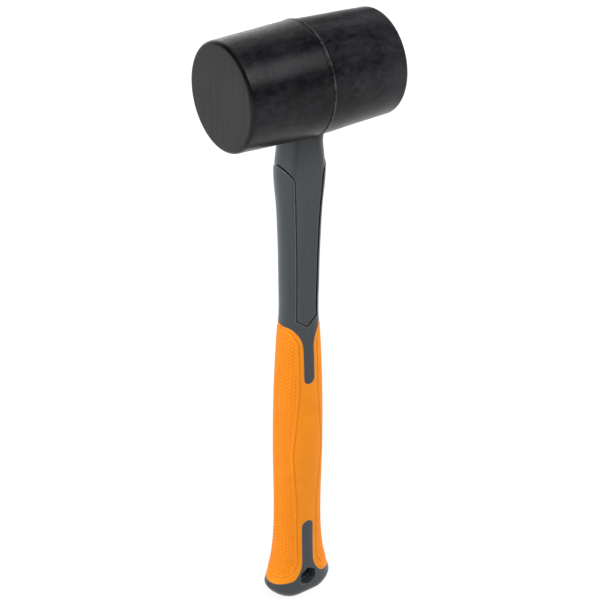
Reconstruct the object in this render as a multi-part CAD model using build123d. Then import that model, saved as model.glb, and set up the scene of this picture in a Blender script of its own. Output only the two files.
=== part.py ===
from build123d import *
import os

# Rubber mallet. Sizes are in millimetres. Z runs up the handle from the middle of the butt's
# underside, X runs along the head, and the two wide faces of the handle look along Y.

# Head: one moulded rubber barrel, widest at the parting ring between the two mould halves
head_length = 90.8
head_radius = 29.0
face_radius = 26.9
face_edge_radius = 2.0
parting_step = 0.2
head_axis_height = 308.0

# Blind socket in the head, the tenon glued into it and the fibreglass rod inside the handle
tenon_length = 46.0
glue_thickness = 0.4
glue_recess = 3.0
core_radius = 5.0
core_end_cover = 5.0

# Handle sections: half width along X, half thickness along Y, half width of the flat on the wide
# faces. Neck, shoulder, shaft and collar lie above the grip, and the rest is inside or below it.
neck_half_width = 12.3
neck_half_thickness = 8.4
neck_flat = 5.2
shoulder_half_width = 13.3
shoulder_half_thickness = 8.85
shoulder_flat = 7.4
shaft_half_width = 10.55
shaft_half_thickness = 7.7
shaft_flat = 5.1
collar_half_width = 11.4
collar_half_thickness = 8.5
collar_flat = 3.8
palm_half_width = 14.0
palm_half_thickness = 11.5
waist_half_width = 14.0
waist_half_thickness = 10.0
grip_flat = 1.0
butt_half_width = 20.4
butt_half_thickness = 11.9
butt_flat = 5.2
underside_half_width = 23.1
underside_half_thickness = 10.9
underside_flat = 5.5
underside_edge_radius = 6.5

# Where those sections are: the shoulder below the head's axis, the collar below the shaft's lower
# end, and the others above the butt's underside
shoulder_drop = 48.2
shaft_end_height = 179.4
collar_drop = 8.0
palm_height = 97.0
waist_height = 63.0
butt_height = 8.0
hang_hole_height = 13.6

# How the sizes change from one section to the next: the share of the change reached halfway up the
# neck, and powers of the share of the way
neck_halfway_change = 0.4
shaft_power = 2.6
palm_power = 2.3
flare_power = 3.0
shaft_steps = 5
grip_steps = 4

# The neck and the strip on each wide face lie a little lower than the shaft's side panels. A
# groove follows the line between them: up the strip's sides from its blunt point to the shoulder,
# then aslant over the narrow side.
strip_half_width_at_shoulder = 8.7
strip_half_width_at_end = 6.25
strip_point_drop = 5.0
strip_point_radius = 1.2
panel_rise = 0.45
panel_top_slope = 1.5
groove_width = 1.0
groove_depth = 0.9

# Soft grip, moulded over the jacket, which shows through it in a tongue at each end of each face.
# Heights are drops from the grip's top edge and rises from the corners of its bottom edge.
grip_thickness = 2.5
grip_top_drop = 4.0
grip_top_corner = 9.2
grip_top_corner_radius = 3.5
upper_tongue_half_width = 3.35
upper_tongue_root_drop = 7.4
upper_tongue_root_radius = 17.0
upper_tongue_tip_drop = 34.2
lower_tongue_half_width = 3.7
lower_tongue_tip_rise = 38.1
lower_tongue_root_rise = 6.1
lower_tongue_root_radius = 15.0
grip_bottom_corner = 9.2
grip_bottom_corner_height = 13.4
grip_bottom_corner_radius = 6.0
grip_bottom_slope = 0.2
tongue_tip_flat = 0.1

# Border groove of each side panel of the grip, a strip's width away from the tongues
border_strip_width = 2.3
border_top_drop = 1.4
border_top_corner = 9.3
border_top_root_drop = 9.9
border_spread_height = 41.0
border_half_width_at_palm = 9.1
border_half_width_at_waist = 6.4
border_bottom_root_rise = 11.1
border_bottom_corner = 10.0
border_bottom_rise = 3.8
border_corner_radius = 8.0
border_bend_radius = 60.0
border_groove_width = 0.7
border_groove_depth = 0.35

# Hanging hole: a six-sided pocket in each wide face and a round hole through the web between them
hang_hole_radius = 4.0
pocket_half_width = 5.1
pocket_edge_radius = 1.6
pocket_depth = 4.3
pocket_chamfer = 0.6

reach = 2 * underside_half_width  # half length of the cutting prisms, clear of the handle's faces
head_bottom_height = head_axis_height - head_radius
shoulder_height = head_axis_height - shoulder_drop
grip_top_height = shaft_end_height - grip_top_drop


def oval(height, half_width, half_thickness, half_flat, inset=0.0):
    """Level section: a flat along each wide face and half an ellipse round each narrow side."""
    side = half_width - half_flat - inset
    depth = half_thickness - inset
    right = EllipticalCenterArc((half_flat, 0), side, depth, start_angle=-90, arc_size=180)
    left = EllipticalCenterArc((-half_flat, 0), side, depth, start_angle=90, arc_size=180)
    joins = [Line(right @ 1, left @ 0), Line(left @ 1, right @ 0)]
    return Plane.XY.offset(height) * make_face([right, left, *joins])


def along_y(outline):
    """Prism of an outline drawn on XZ, reaching past both wide faces."""
    return extrude(Plane.XZ * outline, reach, both=True)


def mirrored(points):
    """Points drawn on XZ, taken to the other side of the handle's axis in reverse order."""
    return [(-across, height) for across, height in reversed(points)]


def between(upper, lower, share, size_share):
    """Section at a share of the way down, with its sizes changed by another share."""
    sizes = [start + (end - start) * size_share for start, end in zip(upper[1:], lower[1:])]
    return (upper[0] + (lower[0] - upper[0]) * share, *sizes)


def stepped(upper, lower, steps, power, quick_first=True):
    """Sections from one to another at even steps, with sizes that change most at one end."""
    sections = []
    for step in range(steps + 1):
        share = step / steps
        size_share = 1 - (1 - share) ** power if quick_first else share**power
        sections.append(between(upper, lower, share, size_share))
    return sections


def handle_sections():
    """Sections of the handle's outer form, from the head's underside down to the butt's."""
    neck = (
        head_bottom_height,
        neck_half_width + panel_rise,
        neck_half_thickness + panel_rise,
        neck_flat,
    )
    shoulder = (shoulder_height, shoulder_half_width, shoulder_half_thickness, shoulder_flat)
    shaft_end = (shaft_end_height, shaft_half_width, shaft_half_thickness, shaft_flat)
    collar_height = shaft_end_height - collar_drop
    collar = (collar_height, collar_half_width, collar_half_thickness, collar_flat)
    palm = (palm_height, palm_half_width, palm_half_thickness, grip_flat)
    waist = (waist_height, waist_half_width, waist_half_thickness, grip_flat)
    butt = (butt_height, butt_half_width, butt_half_thickness, butt_flat)
    underside = (0.0, underside_half_width, underside_half_thickness, underside_flat)
    return [
        neck,
        between(neck, shoulder, 0.5, neck_halfway_change),
        *stepped(shoulder, shaft_end, shaft_steps, shaft_power),
        *stepped(collar, palm, grip_steps, palm_power),
        *stepped(waist, butt, grip_steps, flare_power, quick_first=False),
        underside,
    ]


def handle_form(inset=0.0):
    """Smooth outer form of the handle from the head's underside to the butt, less an inset."""
    return loft([oval(*section, inset=inset) for section in handle_sections()])


def tenon(bottom_height, outset=0.0):
    """The neck's section carried straight up into the head, plus an outset."""
    length = head_bottom_height + tenon_length + outset - bottom_height
    section = oval(bottom_height, neck_half_width, neck_half_thickness, neck_flat, -outset)
    return extrude(section, length)


def panel_line():
    """Line between the side panels and the lower neck and strip, seen from a wide face."""
    at_shoulder = (shoulder_height, strip_half_width_at_shoulder)
    at_end = (shaft_end_height, strip_half_width_at_end)
    steps = stepped(at_shoulder, at_end, shaft_steps, shaft_power)
    side = [(across, height) for height, across in steps]
    past_side = reach - strip_half_width_at_shoulder
    over_the_side = (reach, shoulder_height + panel_top_slope * past_side)
    right = Spline(side)
    left = Spline(mirrored(side))
    point = (0, shaft_end_height - strip_point_drop)
    return Curve() + [
        Line(over_the_side, right @ 0),
        right,
        FilletPolyline(right @ 1, point, left @ 0, radius=strip_point_radius),
        left,
        Line(left @ 1, *mirrored([over_the_side])),
    ]


def neck_and_strip():
    """Everything between the two panel lines, from the strip's point up past the neck."""
    line = panel_line()
    closing = Line(line.edges()[0] @ 0, line.edges()[-1] @ 1)
    return along_y(make_face([*line.edges(), closing]))


def tongue_face(half, radii, far_height):
    """Face of one end of the jacket from the right half of its edge, mirrored and closed."""
    edge = FilletPolyline(*half, *mirrored(half), radius=[*radii, *reversed(radii)])
    return make_face([edge, Polyline(edge @ 1, (-reach, far_height), (reach, far_height), edge @ 0)])


def upper_tongue():
    """Jacket above the grip, with the tongue that runs down into it, seen from a wide face."""
    half = [
        (reach, grip_top_height),
        (grip_top_corner, grip_top_height),
        (upper_tongue_half_width, grip_top_height - upper_tongue_root_drop),
        (upper_tongue_half_width, grip_top_height - upper_tongue_tip_drop),
    ]
    tip_radius = upper_tongue_half_width - tongue_tip_flat
    radii = [grip_top_corner_radius, upper_tongue_root_radius, tip_radius]
    return tongue_face(half, radii, head_bottom_height)


def lower_tongue():
    """Jacket below the grip, with the tongue that runs up into it, seen from a wide face."""
    side_drop = grip_bottom_slope * (reach - grip_bottom_corner)
    half = [
        (reach, grip_bottom_corner_height - side_drop),
        (grip_bottom_corner, grip_bottom_corner_height),
        (lower_tongue_half_width, grip_bottom_corner_height + lower_tongue_root_rise),
        (lower_tongue_half_width, grip_bottom_corner_height + lower_tongue_tip_rise),
    ]
    tip_radius = lower_tongue_half_width - tongue_tip_flat
    radii = [grip_bottom_corner_radius, lower_tongue_root_radius, tip_radius]
    return tongue_face(half, radii, -reach)


def grip_border():
    """Right-hand border line of a side panel of the grip, seen from a wide face."""
    top = grip_top_height - border_top_drop
    top_strip = upper_tongue_half_width + border_strip_width
    bottom = grip_bottom_corner_height + border_bottom_rise
    bottom_root = grip_bottom_corner_height + border_bottom_root_rise
    side_drop = grip_bottom_slope * (reach - border_bottom_corner)
    return FilletPolyline(
        (reach, top),
        (border_top_corner, top),
        (top_strip, grip_top_height - border_top_root_drop),
        (top_strip, palm_height + border_spread_height),
        (border_half_width_at_palm, palm_height),
        (border_half_width_at_waist, waist_height),
        (border_half_width_at_waist, bottom_root),
        (border_bottom_corner, bottom),
        (reach, bottom - side_drop),
        radius=[
            grip_top_corner_radius,
            border_corner_radius,
            border_bend_radius,
            border_bend_radius,
            border_bend_radius,
            border_corner_radius,
            border_corner_radius,
        ],
    )


def pocket_outline(outset=0.0):
    """Hexagon with upright sides and rounded corners, plus an outset."""
    hexagon = RegularPolygon(pocket_half_width + outset, 6, major_radius=False, rotation=90)
    return fillet(hexagon.vertices(), pocket_edge_radius + outset)


def hanging_hole():
    """Cutter for the round hole, the two pockets and their chamfers."""
    cutter = Rot(90, 0, 0) * Cylinder(hang_hole_radius, 2 * reach)
    pocket = pocket_outline()
    rim = pocket_outline(pocket_chamfer + reach)
    for wide_face in (Plane.XZ, -Plane.XZ):
        floor = wide_face.offset(butt_half_thickness - pocket_depth)
        cutter += extrude(floor * pocket, reach)
        chamfer_start = wide_face.offset(butt_half_thickness - pocket_chamfer)
        chamfer_end = chamfer_start.offset(pocket_chamfer + reach)
        cutter += loft([chamfer_start * pocket, chamfer_end * rim], ruled=True)
    return Pos(0, 0, hang_hole_height) * cutter


def mallet_head():
    """Barrel turned about the head's axis, with the blind socket for the tenon."""
    half_length = head_length / 2
    outline = Polyline(
        (-half_length, 0),
        (-half_length, face_radius),
        (0, head_radius),
        (0, head_radius - parting_step),
        (half_length, face_radius),
        (half_length, 0),
        close=True,
    )
    half_section = make_face(outline)
    edges = half_section.vertices().filter_by_position(Axis.Y, face_radius, face_radius)
    barrel = revolve(Plane.XZ * fillet(edges, face_edge_radius), Axis.X)
    return Pos(0, 0, head_axis_height) * barrel - tenon(head_bottom_height, glue_thickness)


def head_adhesive():
    """Glue that fills the socket round the tenon, stopping short of the socket's mouth."""
    start = head_bottom_height + glue_recess
    return tenon(start, glue_thickness) - tenon(start)


def fibreglass_core():
    """Rod that stiffens the handle from above the hanging hole to inside the tenon."""
    bottom = hang_hole_height + pocket_half_width + core_end_cover
    length = head_bottom_height + tenon_length - core_end_cover - bottom
    return Pos(0, 0, bottom + length / 2) * Cylinder(core_radius, length)


def grip_blank():
    """The soft layer before its border grooves, open where the jacket shows."""
    layer = handle_form() - handle_form(grip_thickness)
    return layer - along_y(upper_tongue()) - along_y(lower_tongue())


def grip_sleeve():
    """Soft grip with the border groove of both side panels."""
    line = trace(grip_border(), border_groove_width)
    lines = along_y(line) + along_y(mirror(line, Plane.YZ))
    return grip_blank() - (lines - handle_form(border_groove_depth))


def handle_jacket():
    """Hard handle: butt, seat under the grip, shaft, neck and tenon, moulded over the rod."""
    form = handle_form()
    underside = form.faces().sort_by(Axis.Z)[0]
    jacket = fillet(underside.edges(), underside_edge_radius) - grip_blank()
    jacket -= neck_and_strip() - handle_form(panel_rise)
    jacket -= along_y(trace(panel_line(), groove_width)) - handle_form(groove_depth)
    jacket += tenon(head_bottom_height)
    return jacket - fibreglass_core() - hanging_hole()


parts = {
    "mallet_head": mallet_head(),
    "head_adhesive": head_adhesive(),
    "fibreglass_core": fibreglass_core(),
    "grip_sleeve": grip_sleeve(),
    "handle_jacket": handle_jacket(),
}
os.makedirs("parts", exist_ok=True)
for name, solid in parts.items():
    export_step(solid, f"parts/{name}.step")
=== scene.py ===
import bmesh
import bpy
import numpy as np
from mathutils import Matrix, Vector


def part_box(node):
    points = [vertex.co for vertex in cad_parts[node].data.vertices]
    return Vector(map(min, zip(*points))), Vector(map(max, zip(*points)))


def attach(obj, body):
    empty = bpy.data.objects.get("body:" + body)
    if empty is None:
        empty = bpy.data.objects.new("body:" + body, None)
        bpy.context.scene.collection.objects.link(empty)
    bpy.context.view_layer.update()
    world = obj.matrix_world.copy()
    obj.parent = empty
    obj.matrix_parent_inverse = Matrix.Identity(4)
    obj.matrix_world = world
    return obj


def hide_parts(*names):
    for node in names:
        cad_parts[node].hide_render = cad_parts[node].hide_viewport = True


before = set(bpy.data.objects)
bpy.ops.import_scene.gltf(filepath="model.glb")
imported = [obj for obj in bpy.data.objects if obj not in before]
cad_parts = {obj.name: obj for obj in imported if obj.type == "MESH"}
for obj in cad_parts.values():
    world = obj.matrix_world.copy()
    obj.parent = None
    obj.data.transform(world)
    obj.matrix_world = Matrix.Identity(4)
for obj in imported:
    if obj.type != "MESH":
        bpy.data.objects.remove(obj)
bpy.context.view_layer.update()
headLow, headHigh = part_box("mallet_head")
headRadius = (headHigh.y - headLow.y) / 2
headLength = headHigh.x - headLow.x
headHeight = headHigh.z - headRadius  # height of the barrel's axis
print("frame loaded, head", round(headLength, 4), "long,", round(headRadius, 4), "in radius")


def gridFaces(rows, columns, closedColumns=False):
    # quads between neighbouring points of a grid that is numbered row by row
    last = columns if closedColumns else columns - 1
    row, column = np.meshgrid(np.arange(rows - 1), np.arange(last), indexing="ij")
    right = (column + 1) % columns
    above, below = row * columns, (row + 1) * columns
    corners = [above + column, above + right, below + right, below + column]
    return np.stack(corners, axis=-1).reshape(-1, 4)


def gridPiece(name, points, faces):
    # mesh object from an array of points, shape (rows, columns, 3), and an array of quads
    mesh = bpy.data.meshes.new(name)
    flat = points.reshape(-1, 3)
    mesh.vertices.add(len(flat))
    mesh.vertices.foreach_set("co", flat.astype(np.float32).ravel())
    mesh.loops.add(faces.size)
    mesh.loops.foreach_set("vertex_index", faces.astype(np.int32).ravel())
    mesh.polygons.add(len(faces))
    mesh.polygons.foreach_set("loop_start", np.arange(0, faces.size, 4, dtype=np.int32))
    mesh.update(calc_edges=True)
    mesh.validate()
    mesh.shade_smooth()
    piece = bpy.data.objects.new(name, mesh)
    bpy.context.scene.collection.objects.link(piece)
    return piece


def closeSeams(piece, gap=1e-7):
    # joins the points that lie on each other, at poles and along edges, and turns faces outwards
    shape = bmesh.new()
    shape.from_mesh(piece.data)
    bmesh.ops.remove_doubles(shape, verts=shape.verts, dist=gap)
    bmesh.ops.recalc_face_normals(shape, faces=shape.faces)
    shape.to_mesh(piece.data)
    shape.free()


def smoothStep(x):
    # 0 below 0, 1 above 1, and a cubic ease between
    t = np.clip(x, 0, 1)
    return t * t * (3 - 2 * t)


def feed(tree, value, socket):
    # joins another node's output to the socket, or sets a plain value on it
    if isinstance(value, bpy.types.NodeSocket):
        tree.links.new(value, socket)
    else:
        socket.default_value = value


def addNode(tree, kind, values=None, **settings):
    # new node with its settings, and with what feeds its inputs, by their name or number
    made = tree.nodes.new(kind)
    for name, value in settings.items():
        setattr(made, name, value)
    for socket, value in (values or {}).items():
        feed(tree, value, made.inputs[socket])
    return made


def calculate(tree, operation, *values, **settings):
    # result of a Math node
    made = addNode(tree, "ShaderNodeMath", dict(enumerate(values)), operation=operation, **settings)
    return made.outputs[0]


def mapRange(tree, value, fromLow, fromHigh, toLow, toHigh):
    # straight line from one range to the other, held at its ends
    values = {"Value": value, "From Min": fromLow, "From Max": fromHigh, "To Min": toLow, "To Max": toHigh}
    return addNode(tree, "ShaderNodeMapRange", values, clamp=True).outputs[0]


mixSockets = {"low": 6, "high": 7, "result": 2}  # a Mix node's colours come after its other kinds


def mixColours(tree, amount, low, high):
    # colour between two others, by a mask
    values = {"Factor": amount, mixSockets["low"]: low, mixSockets["high"]: high}
    return addNode(tree, "ShaderNodeMix", values, data_type="RGBA").outputs[mixSockets["result"]]


def mixShaders(tree, amount, low, high):
    values = {0: amount, 1: low.outputs[0], 2: high.outputs[0]}
    return addNode(tree, "ShaderNodeMixShader", values).outputs[0]


def objectPlace(tree):
    return addNode(tree, "ShaderNodeTexCoord").outputs["Object"]


def splitAxes(tree, vector):
    return addNode(tree, "ShaderNodeSeparateXYZ", {0: vector}).outputs


def newMaterial(name, looks):
    # material with a Principled BSDF set from a dictionary of its own sockets
    material = bpy.data.materials.new(name)
    material.use_nodes = True
    shader = material.node_tree.nodes["Principled BSDF"]
    for socket, value in looks.items():
        shader.inputs[socket].default_value = value
    return material, material.node_tree, shader


def dress(piece, material):
    piece.data.materials.clear()
    piece.data.materials.append(material)


view = {
    "fromHead": Vector((-0.40434, -0.56592, 0.26245)),  # from the middle of the head
    "right": Vector((0.81515, -0.57921, 0.00666)),  # the camera's own axes
    "up": Vector((0.27499, 0.39706, 0.87563)),
    "lensMm": 92.106,
    "sensorMm": 36,
}


def placeCamera(s):
    data = bpy.data.cameras.new("camera")
    data.lens = s["lensMm"]
    data.sensor_width = s["sensorMm"]
    camera = bpy.data.objects.new("camera", data)
    bpy.context.scene.collection.objects.link(camera)
    turn = Matrix((s["right"], s["up"], s["right"].cross(s["up"]))).transposed().to_4x4()
    camera.matrix_world = Matrix.Translation(Vector((0, 0, headHeight)) + s["fromHead"]) @ turn
    bpy.context.scene.camera = camera


placeCamera(view)
print("camera placed")


plainWhite = (1, 1, 1, 1)
studio = {
    "ambient": 0.3,  # world light on dull surfaces
    "ambientColour": (1.0, 0.985, 0.97, 1),
    "ceilingColour": (0.06, 0.06, 0.066, 1),  # seen in gloss above the white surroundings
    "ceilingEdge": (-0.05, 0.25),  # upward part of the direction, from the white's end to full ceiling
    "floorSize": 8.0,
    "floorColour": (0.45, 0.45, 0.45, 1),
    "floorWhite": 1.15,  # how bright the camera sees the floor
    "floorGloss": 1.3,  # how bright the floor shows in gloss
    "floorShadowShare": 0.2,  # how much of the floor's own shading the camera sees
    "shadowReach": 0.35,  # distance at which that shading starts to fade, and is gone at twice as far
    "lamps": [
        # name, place, aimed at, line that its width follows, width, height, watts, colour, seen in gloss
        ("rearSoftbox", (0.65, 0.52, 1.12), (0, 0, 0.31), (1, 0, 0), 1.4, 0.45, 1.7, (1, 1, 1), True),
        ("keySoftbox", (0.34, -0.98, 1.52), (0, 0, 0.25), (1, 0, 0), 1.0, 0.9, 19.0, (0.97, 0.97, 1), True),
        ("leftSoftbox", (-1.4, -0.05, 0.5), (0, 0, 0.2), (0, 1, 0), 1.6, 0.8, 20.0, (1, 1, 1), False),
        ("rightSoftbox", (1.4, -0.1, 0.5), (0, 0, 0.2), (0, 1, 0), 1.6, 0.8, 14.5, (1, 1, 1), False),
        ("backSoftbox", (0.2, 1.4, 0.8), (0, 0, 0.12), (1, 0, 0), 1.4, 1.2, 9.0, (1, 1, 1), True),
    ],
}


def rayKinds(tree):
    return addNode(tree, "ShaderNodeLightPath").outputs


def seesSurroundings(tree):
    # 1 for camera, glossy and transmission rays, which see the white surroundings
    rays = rayKinds(tree)
    direct = calculate(tree, "MAXIMUM", rays["Is Camera Ray"], rays["Is Glossy Ray"])
    return calculate(tree, "MAXIMUM", direct, rays["Is Transmission Ray"])


def lightWorld(s):
    # white surroundings, with a dark ceiling in gloss only, and a plain light on dull surfaces
    world = bpy.data.worlds.new("studio")
    world.use_nodes = True
    bpy.context.scene.world = world
    tree = world.node_tree
    tree.nodes.clear()
    upward = splitAxes(tree, addNode(tree, "ShaderNodeTexCoord").outputs["Generated"])["Z"]
    high = mapRange(tree, upward, *s["ceilingEdge"], 0, 1)
    ceiling = calculate(tree, "MULTIPLY", high, rayKinds(tree)["Is Glossy Ray"])
    colour = mixColours(tree, ceiling, plainWhite, s["ceilingColour"])
    light = addNode(tree, "ShaderNodeBackground", {"Color": s["ambientColour"], "Strength": s["ambient"]})
    surroundings = addNode(tree, "ShaderNodeBackground", {"Color": colour, "Strength": 1.0})
    surface = mixShaders(tree, seesSurroundings(tree), light, surroundings)
    addNode(tree, "ShaderNodeOutputWorld", {"Surface": surface})


def hangLamp(name, place, target, along, width, height, watts, colour, inGloss):
    data = bpy.data.lights.new(name, "AREA")
    data.shape = "RECTANGLE"
    data.size = width
    data.size_y = height
    data.energy = watts
    data.color = colour
    lamp = bpy.data.objects.new(name, data)
    bpy.context.scene.collection.objects.link(lamp)
    back = (Vector(place) - Vector(target)).normalized()
    up = back.cross(Vector(along)).normalized()
    turn = Matrix((up.cross(back), up, back)).transposed().to_4x4()
    lamp.matrix_world = Matrix.Translation(place) @ turn
    lamp.visible_glossy = inGloss  # the side lamps give light without a grazing glare


def layFloor(s):
    # pale paper that shows the camera the object's shadow, and fades to plain white further out
    side = [-s["floorSize"] / 2, s["floorSize"] / 2]
    across, along = np.meshgrid(side, side)
    floor = gridPiece("studio_floor", np.stack([across, along, across * 0], axis=-1), gridFaces(2, 2))
    material = bpy.data.materials.new("studioFloor")
    material.use_nodes = True
    tree = material.node_tree
    tree.nodes.clear()
    bright = mapRange(tree, rayKinds(tree)["Is Glossy Ray"], 0, 1, s["floorWhite"], s["floorGloss"])
    away = addNode(tree, "ShaderNodeVectorMath", {0: objectPlace(tree)}, operation="LENGTH")
    near = s["shadowReach"]
    plain = mapRange(tree, away.outputs["Value"], near, 2 * near, 1 - s["floorShadowShare"], 1)
    share = calculate(tree, "MULTIPLY", seesSurroundings(tree), plain)
    paper = addNode(tree, "ShaderNodeBsdfDiffuse", {"Color": s["floorColour"]})
    white = addNode(tree, "ShaderNodeEmission", {"Color": plainWhite, "Strength": bright})
    addNode(tree, "ShaderNodeOutputMaterial", {"Surface": mixShaders(tree, share, paper, white)})
    dress(floor, material)


lightWorld(studio)
for lamp in studio["lamps"]:
    hangLamp(*lamp)
layFloor(studio)
bpy.context.scene.view_settings.view_transform = "Standard"
print("studio lit with", len(studio["lamps"]), "lamps")


def newGroup(name, inputs, outputs):
    # node group with named sockets: its tree, what it is given and what it puts out
    tree = bpy.data.node_groups.new(name, "ShaderNodeTree")
    for socket, (kind, value) in inputs.items():
        made = tree.interface.new_socket(socket, in_out="INPUT", socket_type="NodeSocket" + kind)
        made.default_value = value
    for socket, kind in outputs.items():
        tree.interface.new_socket(socket, in_out="OUTPUT", socket_type="NodeSocket" + kind)
    return tree, addNode(tree, "NodeGroupInput").outputs, addNode(tree, "NodeGroupOutput").inputs


def useGroup(tree, group, values):
    # outputs of the group, placed with its own values
    return addNode(tree, "ShaderNodeGroup", values, node_tree=group).outputs


def makeEdgeGroup(samples=6):
    # Edge: 1 where the surface turns within Radius, from the angle between the true normal and the
    # normal of the rounded edge. Normal: the rounded edge's normal.
    tree, given, result = newGroup(
        "softEdges",
        {"Radius": ("Float", 0.0004), "Gain": ("Float", 6.0)},
        {"Edge": "Float", "Normal": "Vector"},
    )
    rounded = addNode(tree, "ShaderNodeBevel", {"Radius": given["Radius"]}, samples=samples).outputs[0]
    normals = {0: rounded, 1: addNode(tree, "ShaderNodeNewGeometry").outputs["Normal"]}
    cosine = addNode(tree, "ShaderNodeVectorMath", normals, operation="DOT_PRODUCT").outputs["Value"]
    turned = calculate(tree, "SUBTRACT", 1.0, cosine)
    feed(tree, calculate(tree, "MULTIPLY", turned, given["Gain"], use_clamp=True), result["Edge"])
    feed(tree, rounded, result["Normal"])
    return tree


grainNoise = {"detail": {"Fine": 1.5, "Cloud": 5.0}, "roughness": 0.6}


def makeGrainGroup(s):
    # Fine: moulded grain. Cloud: slow mottling. Both run from 0 to 1 and read Object coordinates,
    # stretched along each axis by Stretch.
    tree, given, result = newGroup(
        "mouldedGrain",
        {"Fine Size": ("Float", 1500.0), "Cloud Size": ("Float", 60.0), "Stretch": ("Vector", (1, 1, 1))},
        {"Fine": "Float", "Cloud": "Float"},
    )
    factors = {0: objectPlace(tree), 1: given["Stretch"]}
    place = addNode(tree, "ShaderNodeVectorMath", factors, operation="MULTIPLY").outputs[0]
    for name, detail in s["detail"].items():
        size = given[name + " Size"]
        values = {"Vector": place, "Scale": size, "Detail": detail, "Roughness": s["roughness"]}
        feed(tree, addNode(tree, "ShaderNodeTexNoise", values).outputs[0], result[name])
    return tree


softEdges = makeEdgeGroup()
mouldedGrain = makeGrainGroup(grainNoise)
fineSpread = (0.3, 0.7)  # nearly all of the fine grain lies between these
cloudSpread = (0.35, 0.65)  # and most of the mottling between these


def addBump(tree, height, distance, normal=None):
    bump = addNode(tree, "ShaderNodeBump", {"Height": height, "Distance": distance})
    if normal:
        feed(tree, normal, bump.inputs["Normal"])
    return bump.outputs[0]


def sliceFrame(nodes, heights):
    # largest |x|, largest |y| and largest |x| + |y| of the nodes' edges at each height
    reach = np.zeros((3, len(heights)))
    for node in nodes:
        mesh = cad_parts[node].data
        points = np.empty(len(mesh.vertices) * 3, np.float32)
        mesh.vertices.foreach_get("co", points)
        ends = np.empty(len(mesh.edges) * 2, np.int32)
        mesh.edges.foreach_get("vertices", ends)
        start, end = points.reshape(-1, 3).astype(float)[ends.reshape(-1, 2)].transpose(1, 0, 2)
        for level, height in enumerate(heights):
            crossing = (start[:, 2] - height) * (end[:, 2] - height) < 0
            low, high = start[crossing], end[crossing]
            share = (height - low[:, 2]) / (high[:, 2] - low[:, 2])
            cut = np.abs(low + (high - low) * share[:, None])
            found = [cut[:, 0].max(), cut[:, 1].max(), (cut[:, 0] + cut[:, 1]).max()]
            reach[:, level] = np.maximum(reach[:, level], found)
    return reach


def ovalSizes(reach):
    # Half width, half thickness and half flat of a section with a flat along each wide face and half
    # an ellipse round each narrow side. The largest |x| + |y| tells the flat.
    width, thickness, diagonal = reach
    return width, thickness, (diagonal**2 - width**2 - thickness**2) / (2 * (diagonal - width))


barrel = {
    "faceRadius": 0.0269,  # of a striking face with its rounded edge
    "edgeRadius": 0.0020,
    "dishDepth": 0.00025,  # hollow in the middle of each striking face
    "flashHeight": 0.00032,  # ridge that the mould's halves leave round the middle
    "flashHalfWidth": 0.00052,
    "creaseDepth": 0.00012,  # shallow line beside the ridge, on the first half only
    "creaseHalfWidth": 0.0003,
    "creasePlace": 0.00125,
    "halvesStep": 0.00022,  # the second half is this much thinner where they meet
    "unevenness": 0.00005,
    "waves": [  # share, turns round the barrel, radians per metre along it, start
        (1, 3, 90, 1.3),
        (0.7, 5, -170, 0.4),
        (0.5, 2, 310, 2.6),
    ],
    "faceFade": 0.006,  # lengths over which the waves come in from the faces and from the ridge
    "ridgeFade": 0.012,
    "socketOpening": 0.001,  # how far the plug that cuts the socket stands out below
    "socketSteps": 96,
    "aroundSteps": 256,
    "faceSteps": 26,
    "edgeSteps": 10,
    "sideSteps": 96,
    "sideCrowding": 1.6,  # above 1, the side's points lie closer together near the ridge
}


def barrelProfile(s, side):
    # Half of the outline from the middle of a striking face to the parting plane: a shallow dish,
    # a quarter circle round the edge, then a straight taper with the flash ridge at its end.
    half = headLength / 2
    flatRadius = s["faceRadius"] - s["edgeRadius"]
    faceRadii = np.linspace(0, flatRadius, s["faceSteps"], endpoint=False)
    dish = s["dishDepth"] * (1 - smoothStep(faceRadii / flatRadius))
    turn = np.linspace(0, np.pi / 2, s["edgeSteps"], endpoint=False)
    toMiddle = 1 - np.linspace(1, 0, s["sideSteps"]) ** s["sideCrowding"]
    edgeEnd = half - s["edgeRadius"]
    along = edgeEnd * (1 - toMiddle)
    top = headRadius - s["flashHeight"]
    step = s["halvesStep"] if side > 0 else 0
    taper = s["faceRadius"] + (top - step - s["faceRadius"]) * toMiddle
    ridge = (s["flashHeight"] + step) * np.exp(-((along / s["flashHalfWidth"]) ** 2))
    if side < 0:
        fromCrease = (along - s["creasePlace"]) / s["creaseHalfWidth"]
        ridge = ridge - s["creaseDepth"] * np.exp(-(fromCrease**2))
    x = np.concatenate([half - dish, edgeEnd + s["edgeRadius"] * np.cos(turn), along])
    r = np.concatenate([faceRadii, flatRadius + s["edgeRadius"] * np.sin(turn), taper + ridge])
    return side * x, r


def unevenSkin(s, x, angle):
    # a sum of slow sine waves over the barrel, as a soft rubber moulding has, fading out at the faces
    # and the ridge
    waves = sum(
        share * np.sin(turns * angle + along * x + start) for share, turns, along, start in s["waves"]
    )
    fromFace = smoothStep((headLength / 2 - np.abs(x)) / s["faceFade"])
    fromRidge = smoothStep(np.abs(x) / s["ridgeFade"])
    return s["unevenness"] * waves * (fromFace * fromRidge)


def makeBarrel(s):
    # both halves of the outline turned about the barrel's axis
    leftX, leftR = barrelProfile(s, -1)
    rightX, rightR = barrelProfile(s, 1)
    x = np.concatenate([leftX, rightX[-2::-1]])
    r = np.concatenate([leftR, rightR[-2::-1]])
    angle = np.linspace(0, 2 * np.pi, s["aroundSteps"], endpoint=False)
    x, angle = np.meshgrid(x, angle, indexing="ij")
    radius = r[:, None] + unevenSkin(s, x, angle) * (r[:, None] > s["faceRadius"] - s["edgeRadius"])
    points = np.stack([x, radius * np.cos(angle), headHeight + radius * np.sin(angle)], axis=-1)
    piece = gridPiece("rubber_barrel", points, gridFaces(*x.shape, closedColumns=True))
    closeSeams(piece)
    return piece


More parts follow.
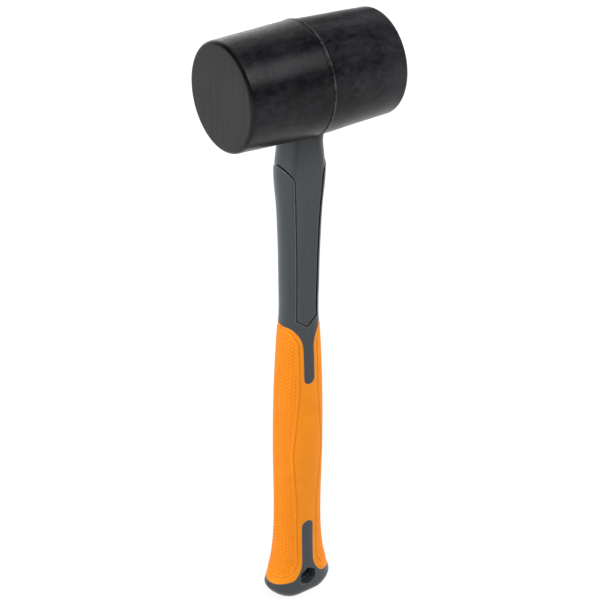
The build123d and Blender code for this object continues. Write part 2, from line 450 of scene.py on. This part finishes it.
def makeSocketPlug(s):
    # The socket is the outer skin of the glue carried straight down: a flat along each wide face and
    # half an ellipse round each narrow side, closed at both ends in the middle.
    low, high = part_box("head_adhesive")
    width, thickness, flat = ovalSizes(sliceFrame(["head_adhesive"], [(low.z + high.z) / 2]))
    levels = np.array([headHeight - headRadius - s["socketOpening"], high.z])
    angle = np.linspace(0, 2 * np.pi, s["socketSteps"], endpoint=False)
    share = np.array([0, 1, 1, 0])[:, None]  # of the section: a closed end, the two rims, a closed end
    x = share * (np.sign(np.cos(angle)) * flat + (width - flat) * np.cos(angle))
    y = share * thickness * np.sin(angle)
    z = np.broadcast_to(levels[[0, 0, 1, 1]][:, None], x.shape)
    points = np.stack([x, y, z], axis=-1)
    plug = gridPiece("socket_plug", points, gridFaces(*x.shape, closedColumns=True))
    closeSeams(plug)
    return plug


def cutSocket(piece, plug):
    # takes the plug's volume out of the piece and drops the plug
    cut = piece.modifiers.new("socket", "BOOLEAN")
    cut.operation = "DIFFERENCE"
    cut.solver = "EXACT"
    cut.object = plug
    evaluated = piece.evaluated_get(bpy.context.evaluated_depsgraph_get())
    finished = bpy.data.meshes.new_from_object(evaluated)
    piece.modifiers.clear()
    piece.data = finished
    bpy.data.objects.remove(plug)


rubberBarrel = makeBarrel(barrel)
cutSocket(rubberBarrel, makeSocketPlug(barrel))
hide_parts("mallet_head")
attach(rubberBarrel, "root")
print("barrel made,", len(rubberBarrel.data.polygons), "faces")


gripPanel = {
    # Middle of the border line on a wide face, from the narrow side's top round to its bottom:
    # distance from the handle's axis, height above the butt and how far the corner is rounded off
    "border": [
        (0.0300, 0.1740, 0),
        (0.0093, 0.1740, 0.0023),
        (0.00565, 0.1655, 0.0016),
        (0.00565, 0.1380, 0.0024),
        (0.0091, 0.0970, 0.0048),
        (0.0064, 0.0630, 0.0023),
        (0.0064, 0.0245, 0.0018),
        (0.0100, 0.0172, 0.0030),
        (0.0300, 0.0132, 0),
    ],
    # where the skin ends on the strip beyond the border: height and distance from the axis
    "skinEnd": [
        (0.17495, 0.0102),
        (0.1732, 0.0079),
        (0.1655, 0.0046),
        (0.1380, 0.0046),
        (0.0970, 0.0080),
        (0.0630, 0.0053),
        (0.0245, 0.0053),
        (0.0163, 0.0093),
        (0.0130, 0.0093),
    ],
    "endSoftening": 0.004,  # the corners of that line are averaged over this height
    "softeningSteps": 9,
    "cornerSteps": 12,  # points on each rounded corner of the border
    "formHeights": (0.0125, 0.1752),  # the handle's section is measured between these
    "formSlices": 80,
    "formDegree": 12,
    "topHeight": 0.17495,
    "bottomHeight": 0.01625,  # at the border's last corner, with the slope towards the narrow side
    "bottomCorner": 0.0100,
    "bottomSlope": 0.2,
    "panelLift": 0.00022,  # above the sleeve inside the border and on the strip beyond it
    "stripLift": 0.00008,
    "liftWidth": 0.001,  # width over which one becomes the other
    "borderDepth": 0.00034,
    "borderHalfWidth": 0.00032,
    "borderShade": 0.95,  # share of the hollows' painted shade in the border line
    "sink": 0.00018,  # how deep the skin's edge lies in the sleeve
    "rim": 0.0008,  # width over which the skin comes up from the sleeve
    "thickness": 0.0005,
    "studPitch": 0.0023,
    "studRadius": 0.0011,
    "studHeight": 0.0002,
    "studMargin": 0.0012,  # plain width between the border and the first studs
    "studFade": 0.0008,  # width over which the hollows between them reach their depth
    "rows": 560,
    "outerColumns": 140,
    "innerColumns": 12,
    "endCrowding": 0.45,  # how much closer the rows and columns lie near the panel's edges
}


def handleForm(s):
    # the sizes of the handle's section from slices, each carried along the height by a polynomial
    heights = np.linspace(*s["formHeights"], s["formSlices"])
    sizes = ovalSizes(sliceFrame(["grip_sleeve", "handle_jacket"], heights))
    return [np.polynomial.Chebyshev.fit(heights, values, s["formDegree"]) for values in sizes]


def roundedLine(corners, steps):
    # Points of a line whose corners are rounded by parabolas. A corner's third value is how far its
    # parabola reaches along the line both ways.
    points = np.array(corners)[:, :2]
    reach = np.array(corners)[1:-1, 2:]
    share = np.linspace(0, 1, steps)[:, None, None]
    before = points[:-2] - points[1:-1]
    after = points[2:] - points[1:-1]
    start = points[1:-1] + before / np.linalg.norm(before, axis=1, keepdims=True) * reach
    end = points[1:-1] + after / np.linalg.norm(after, axis=1, keepdims=True) * reach
    bend = (1 - share) ** 2 * start + 2 * share * (1 - share) * points[1:-1] + share**2 * end
    return np.concatenate([points[:1], bend.transpose(1, 0, 2).reshape(-1, 2), points[-1:]])


def borderDistance(line, x, z):
    # Distance to a line of points, positive towards the narrow side: the shortest of the distances
    # to its runs, with the sign of the turn from the nearest run to the point.
    nearest = np.full(x.shape, np.inf)
    signed = np.zeros(x.shape)
    for (startX, startZ), (endX, endZ) in zip(line[:-1], line[1:]):
        runX, runZ = endX - startX, endZ - startZ
        share = np.clip(((x - startX) * runX + (z - startZ) * runZ) / (runX**2 + runZ**2), 0, 1)
        distance = np.hypot(x - startX - share * runX, z - startZ - share * runZ)
        turn = np.sign(runX * (z - startZ) - runZ * (x - startX))
        signed = np.where(distance < nearest, distance * turn, signed)
        nearest = np.minimum(nearest, distance)
    return signed


def crowded(count, amount):
    # steps from -1 to 1 that lie closer together near both ends
    even = np.linspace(-1, 1, count)
    return (1 - amount) * even + amount * np.sin(even * np.pi / 2)


def studs(s, across, along):
    # Height from 0 to 1 of round studs in staggered columns: a dome over the distance to the nearest
    # centre of two oblong grids, one set half a step over in both directions.
    columnPitch = s["studPitch"] * np.sqrt(3)
    nearest = np.full(across.shape, np.inf)
    for shift in (0.0, 0.5):
        dx = (across / columnPitch + shift + 0.5) % 1 - 0.5
        dz = (along / s["studPitch"] + shift + 0.5) % 1 - 0.5
        nearest = np.minimum(nearest, np.hypot(dx * columnPitch, dz * s["studPitch"]))
    return np.sqrt(np.clip(1 - (nearest / s["studRadius"]) ** 2, 0, 1))


def sidePoints(s, form, u, z):
    # Points of the handle's section at height z, on an ellipse round the narrow side: u goes from -1
    # to 1 between the skin's two ends, and the line of these is averaged over endSoftening.
    heights, widths = np.array(s["skinEnd"][::-1]).T
    shifts = np.linspace(-0.5, 0.5, s["softeningSteps"]) * s["endSoftening"]
    end = np.mean([np.interp(z + shift, heights, widths) for shift in shifts], axis=0)
    width, thickness, flat = (law(z) for law in form)
    t = u * np.arccos((end - flat) / (width - flat))
    return flat + (width - flat) * np.cos(t), thickness * np.sin(t)


def panelGrid(s, form):
    # Points under the skin, with rows down the handle and columns round its section, then the way
    # round from the middle column and the distance to the skin's nearest end.
    down = crowded(s["rows"], s["endCrowding"]) / 2 + 0.5
    v, u = np.meshgrid(down, crowded(s["outerColumns"], s["endCrowding"]), indexing="ij")
    lowestX, _ = sidePoints(s, form, u, np.full(u.shape, s["bottomHeight"]))
    bottom = s["bottomHeight"] - (lowestX - s["bottomCorner"]) * s["bottomSlope"]
    z = s["topHeight"] + (bottom - s["topHeight"]) * v
    x, y = sidePoints(s, form, u, z)
    base = np.stack([x, y, z], axis=-1)
    across = np.linalg.norm(np.diff(base, axis=1, prepend=base[:, :1]), axis=-1).cumsum(axis=1)
    across = across - across[:, -1:] / 2
    toSide = np.abs(across[:, -1:]) - np.abs(across)
    return base, across, np.minimum(toSide, np.minimum(s["topHeight"] - z, z - bottom))


def outwards(base):
    # unit normals of the grid's points, away from the handle
    normal = np.cross(np.gradient(base, axis=1), np.gradient(base, axis=0))
    normal = normal / np.linalg.norm(normal, axis=-1, keepdims=True)
    return normal * np.sign(normal[..., :1])


def panelRelief(s, base, across, shown):
    # Height of the skin over the sleeve: up out of it along the rim, a soft dip along the border line
    # and the studs inside that. The second result is the painted shade in the hollows and the border line.
    border = roundedLine(s["border"], s["cornerSteps"])
    inside = borderDistance(border, base[..., 0], base[..., 2])
    onPanel = smoothStep(inside / s["liftWidth"] + 0.5)
    lift = s["stripLift"] + (s["panelLift"] - s["stripLift"]) * onPanel
    groove = np.exp(-((inside / s["borderHalfWidth"]) ** 2)) * shown
    between = 1 - studs(s, across, base[..., 2])
    between = between * smoothStep((inside - s["studMargin"]) / s["studFade"])
    height = lift * shown - s["sink"] * (1 - shown)
    height = height - s["borderDepth"] * groove - s["studHeight"] * between
    return height, between + s["borderShade"] * groove


def makePanel(name, s, form, side):
    # skin over one narrow side of the grip, which turns back underneath
    base, across, toEnd = panelGrid(s, form)
    normal = outwards(base)
    shown = smoothStep(toEnd / s["rim"])
    height, hollowShade = panelRelief(s, base, across, shown)
    outer = base + normal * height[..., None]
    depth = s["sink"] + s["thickness"] * shown
    inner = base - normal * depth[..., None]
    back = np.linspace(s["outerColumns"] - 1, 0, s["innerColumns"] + 2).round().astype(int)[1:-1]
    points = np.concatenate([outer, inner[:, back]], axis=1)
    points[..., 0] = points[..., 0] * side
    faces = gridFaces(*points.shape[:2], closedColumns=True)
    piece = gridPiece(name, points, faces if side < 0 else faces[:, ::-1])
    hollowShade = np.concatenate([hollowShade, hollowShade[:, back] * 0], axis=1).astype(np.float32)
    piece.data.attributes.new("hollowShade", "FLOAT", "POINT").data.foreach_set("value", hollowShade.ravel())
    closeSeams(piece)
    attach(piece, "root")
    return piece


form = handleForm(gripPanel)
gripPanels = [
    makePanel("grip_panel_back", gripPanel, form, -1),
    makePanel("grip_panel_front", gripPanel, form, 1),
]
print("grip panels made,", sum(len(panel.data.polygons) for panel in gripPanels), "faces")


rubberFinish = {
    "looks": {"Specular IOR Level": 0.16},
    "body": (0.003, 0.003, 0.004, 1),
    "bloom": (0.022, 0.022, 0.0265, 1),
    "face": (0.0125, 0.0125, 0.0118, 1),
    "faceDark": (0.0022, 0.0022, 0.002, 1),
    # lighter ridge: scuffed, and a painted highlight along its crest
    "lightened": (0.085, 0.085, 0.084, 1),
    "grain": {"Fine Size": 900.0, "Cloud Size": 400.0, "Stretch": (0.6, 1, 1)},
    "grainHeight": 0.000012,
    "roughness": (0.26, 0.36),
    "blotches": {"Cloud Size": 45.0},
    "grainShare": 0.8,  # strength of the grain's mottling beside these slow blotches
    "halfSheenStretch": (-0.002, 0.05),  # part of the barrel along which the painted sheen grows to its full share
    # painted sheen that lightens the second half
    "halfSheen": 0.3,
    "bloomSpread": (0.86, 1.27),  # sum of the blotches and the painted sheen at which the bloom starts and is full
    "streaks": {"Cloud Size": 420.0, "Stretch": (1, 1, 0.08)},
    "faceDepths": (0.0016, 0.0004),  # behind the face, where its finish starts and where it is full
    "shadeHeights": (0.004, 0.022),  # above the axis, where the streaks fade out as painted shade at the top
    "topShade": 0.1,
    "ridgeReach": (0.0006, 0.0001),  # from the parting plane: where scuffs and painted highlight start, and are full
    "scuffAndHighlightSpread": (0.38, 0.62),
    "leastScuffAndHighlight": 0.1,
}


def bloomedRubber(tree, s, along, mottling):
    # black under a blotchy bluish bloom, thicker on the second half, where it is also a painted sheen
    slow = useGroup(tree, mouldedGrain, s["blotches"])["Cloud"]
    blotches = calculate(tree, "MULTIPLY_ADD", mottling, s["grainShare"], slow)
    bloomAndSheen = calculate(tree, "ADD", blotches, mapRange(tree, along, *s["halfSheenStretch"], 0, s["halfSheen"]))
    return mixColours(tree, mapRange(tree, bloomAndSheen, *s["bloomSpread"], 0, 1), s["body"], s["bloom"])


def streakedFaces(tree, s, height):
    # grey streaks down the striking faces, which fade towards the top as painted shade
    streaks = useGroup(tree, mouldedGrain, s["streaks"])["Cloud"]
    start, end = (headHeight + above for above in s["shadeHeights"])
    lightened = mapRange(tree, height, start, end, 1, s["topShade"])
    streaksShadedAbove = calculate(tree, "MULTIPLY", mapRange(tree, streaks, *fineSpread, 0, 1), lightened)
    return mixColours(tree, streaksShadedAbove, s["faceDark"], s["face"])


def makeHeadRubber(s):
    # bloomed rubber with streaked faces and a mould ridge, scuffed and with a painted highlight
    material, tree, shader = newMaterial("headRubber", s["looks"])
    grain = useGroup(tree, mouldedGrain, s["grain"])
    place = splitAxes(tree, objectPlace(tree))
    fromMiddle = calculate(tree, "ABSOLUTE", place["X"])
    start, end = (headLength / 2 - depth for depth in s["faceDepths"])
    onFace = mapRange(tree, fromMiddle, start, end, 0, 1)
    body = bloomedRubber(tree, s, place["X"], grain["Cloud"])
    colour = mixColours(tree, onFace, body, streakedFaces(tree, s, place["Z"]))
    # the ridge is lighter where scuffed, and as a painted highlight along its crest
    onRidge = mapRange(tree, fromMiddle, *s["ridgeReach"], 0, 1)
    patchy = mapRange(tree, grain["Cloud"], *s["scuffAndHighlightSpread"], s["leastScuffAndHighlight"], 1)
    colour = mixColours(tree, calculate(tree, "MULTIPLY", onRidge, patchy), colour, s["lightened"])
    feed(tree, colour, shader.inputs["Base Color"])
    feed(tree, mapRange(tree, grain["Fine"], *fineSpread, *s["roughness"]), shader.inputs["Roughness"])
    feed(tree, addBump(tree, grain["Fine"], s["grainHeight"]), shader.inputs["Normal"])
    return material


def mouldedSkin(tree, shader, s):
    # grained roughness and bump over softened edges, on a mottled colour, which comes back with the
    # mask of the edges, where the materials paint a highlight
    grain = useGroup(tree, mouldedGrain, s["grain"])
    edges = useGroup(tree, softEdges, s["edges"])
    feed(tree, mapRange(tree, grain["Fine"], *fineSpread, *s["roughness"]), shader.inputs["Roughness"])
    feed(tree, addBump(tree, grain["Fine"], s["grainHeight"], edges["Normal"]), shader.inputs["Normal"])
    mottled = mapRange(tree, grain["Cloud"], *cloudSpread, 0, 1)
    return mixColours(tree, mottled, s["body"], s["light"]), edges["Edge"]


jacketFinish = {
    "looks": {"Specular IOR Level": 0.32},
    "body": (0.0346, 0.0413, 0.0456, 1),
    "light": (0.0428, 0.0507, 0.0558, 1),
    # painted highlight along the edges
    "edge": (0.19, 0.203, 0.212, 1),
    # painted shade in the grooves
    "groove": (0.018, 0.0195, 0.022, 1),
    # painted shade on the neck below the head
    "paintedShadeUnderHead": (0.0075, 0.008, 0.0098, 1),
    "grain": {"Fine Size": 1800.0, "Cloud Size": 260.0, "Stretch": (1, 1, 0.06)},  # drawn lengthwise
    "grainHeight": 0.00003,
    "roughness": (0.28, 0.4),
    "edges": {"Radius": 0.0006, "Gain": 9.0},
    "occlusionSamples": 8,
    "grooveReach": 0.0013,  # how near a wall counts as one of a groove
    "grooveOpen": (0.45, 0.85),  # openness from a groove in full painted shade to the bare surface
    "headReach": 0.024,  # how far down the neck the head's shade reaches
    "headOpen": (0.35, 0.8),  # openness from full shade to none
    "wideFace": (0.8, 0.97),  # |y| of the normal from the narrow sides, which have no shade, to the flats
}


def shadeUnderHead(tree, s):
    # Mask of painted shade: 1 on the wide faces close below the head, where little light comes from
    # above: the occlusion of a hemisphere that leans up by half a right angle
    normal = addNode(tree, "ShaderNodeNewGeometry").outputs["Normal"]
    lean = addNode(tree, "ShaderNodeVectorMath", {0: normal, 1: (0, 0, 1)}, operation="ADD").outputs[0]
    upward = addNode(tree, "ShaderNodeVectorMath", {0: lean}, operation="NORMALIZE").outputs[0]
    values = {"Distance": s["headReach"], "Normal": upward}
    sky = addNode(tree, "ShaderNodeAmbientOcclusion", values, samples=s["occlusionSamples"]).outputs["AO"]
    across = calculate(tree, "ABSOLUTE", splitAxes(tree, normal)["Y"])
    onWideFace = mapRange(tree, across, *s["wideFace"], 0, 1)
    return calculate(tree, "MULTIPLY", mapRange(tree, sky, *s["headOpen"], 1, 0), onWideFace)


def makeJacketPlastic(s):
    # dark grey plastic with painted highlights on its edges, painted shade in its grooves and under the
    # head
    material, tree, shader = newMaterial("jacketPlastic", s["looks"])
    body, edgeHighlight = mouldedSkin(tree, shader, s)
    body = mixColours(tree, edgeHighlight, body, s["edge"])
    reach, samples = {"Distance": s["grooveReach"]}, s["occlusionSamples"]
    # painted shade in the grooves, from their occlusion
    nook = addNode(tree, "ShaderNodeAmbientOcclusion", reach, samples=samples, only_local=True)
    bare = mapRange(tree, nook.outputs["AO"], *s["grooveOpen"], 0, 1)
    body = mixColours(tree, bare, s["groove"], body)
    colour = mixColours(tree, shadeUnderHead(tree, s), body, s["paintedShadeUnderHead"])
    feed(tree, colour, shader.inputs["Base Color"])
    return material


gripFinish = {
    "looks": {"Specular IOR Level": 0.2},
    "body": (0.85, 0.253, 0.008, 1),
    "light": (0.9, 0.28, 0.011, 1),
    # painted highlight along the edges
    "edge": (0.95, 0.33, 0.03, 1),
    # painted shade in the hollows
    "hollowShade": (0.76, 0.2, 0.007, 1),
    "grain": {"Fine Size": 1400.0, "Cloud Size": 90.0},
    "grainHeight": 0.00005,
    "roughness": (0.5, 0.7),
    "edges": {"Radius": 0.0005, "Gain": 4.0},
}


def makeGripRubber(s):
    # soft orange rubber with painted shade in the studded panels' hollows; no other piece has that
    # attribute
    material, tree, shader = newMaterial("gripRubber", s["looks"])
    body, edgeHighlight = mouldedSkin(tree, shader, s)
    hollowShade = addNode(tree, "ShaderNodeAttribute", attribute_name="hollowShade").outputs["Fac"]
    body = mixColours(tree, hollowShade, body, s["hollowShade"])
    # painted highlight along the edges
    feed(tree, mixColours(tree, edgeHighlight, body, s["edge"]), shader.inputs["Base Color"])
    return material


epoxyFinish = {
    "looks": {"Roughness": 0.3},
    "low": (0.5, 0.42, 0.22, 1),
    "high": (0.62, 0.56, 0.36, 1),
    "pattern": "Cloud",  # the grain's output that mixes the two colours
    "grain": {"Fine Size": 900.0, "Cloud Size": 120.0},
    "grainHeight": 0.00004,
}
fibreglassFinish = {
    "looks": {"Roughness": 0.35},
    "low": (0.5, 0.49, 0.38, 1),
    "high": (0.78, 0.77, 0.68, 1),
    "pattern": "Fine",
    "grain": {"Fine Size": 2500.0, "Stretch": (1, 1, 0.02)},
    "grainHeight": 0.00004,
}


def makeInnerFinish(name, s):
    # the glue and the rod: two colours and a bump from one grain
    material, tree, shader = newMaterial(name, s["looks"])
    grain = useGroup(tree, mouldedGrain, s["grain"])
    colour = mixColours(tree, grain[s["pattern"]], s["low"], s["high"])
    feed(tree, colour, shader.inputs["Base Color"])
    feed(tree, addBump(tree, grain["Fine"], s["grainHeight"]), shader.inputs["Normal"])
    return material


headRubber = makeHeadRubber(rubberFinish)
gripRubber = makeGripRubber(gripFinish)
nodeFinishes = {
    "mallet_head": headRubber,
    "handle_jacket": makeJacketPlastic(jacketFinish),
    "grip_sleeve": gripRubber,
    "head_adhesive": makeInnerFinish("epoxy", epoxyFinish),
    "fibreglass_core": makeInnerFinish("fibreglass", fibreglassFinish),
}
for name, material in nodeFinishes.items():
    dress(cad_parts[name], material)
dress(rubberBarrel, headRubber)
for panel in gripPanels:
    dress(panel, gripRubber)
print("finishes on", len(nodeFinishes), "parts")
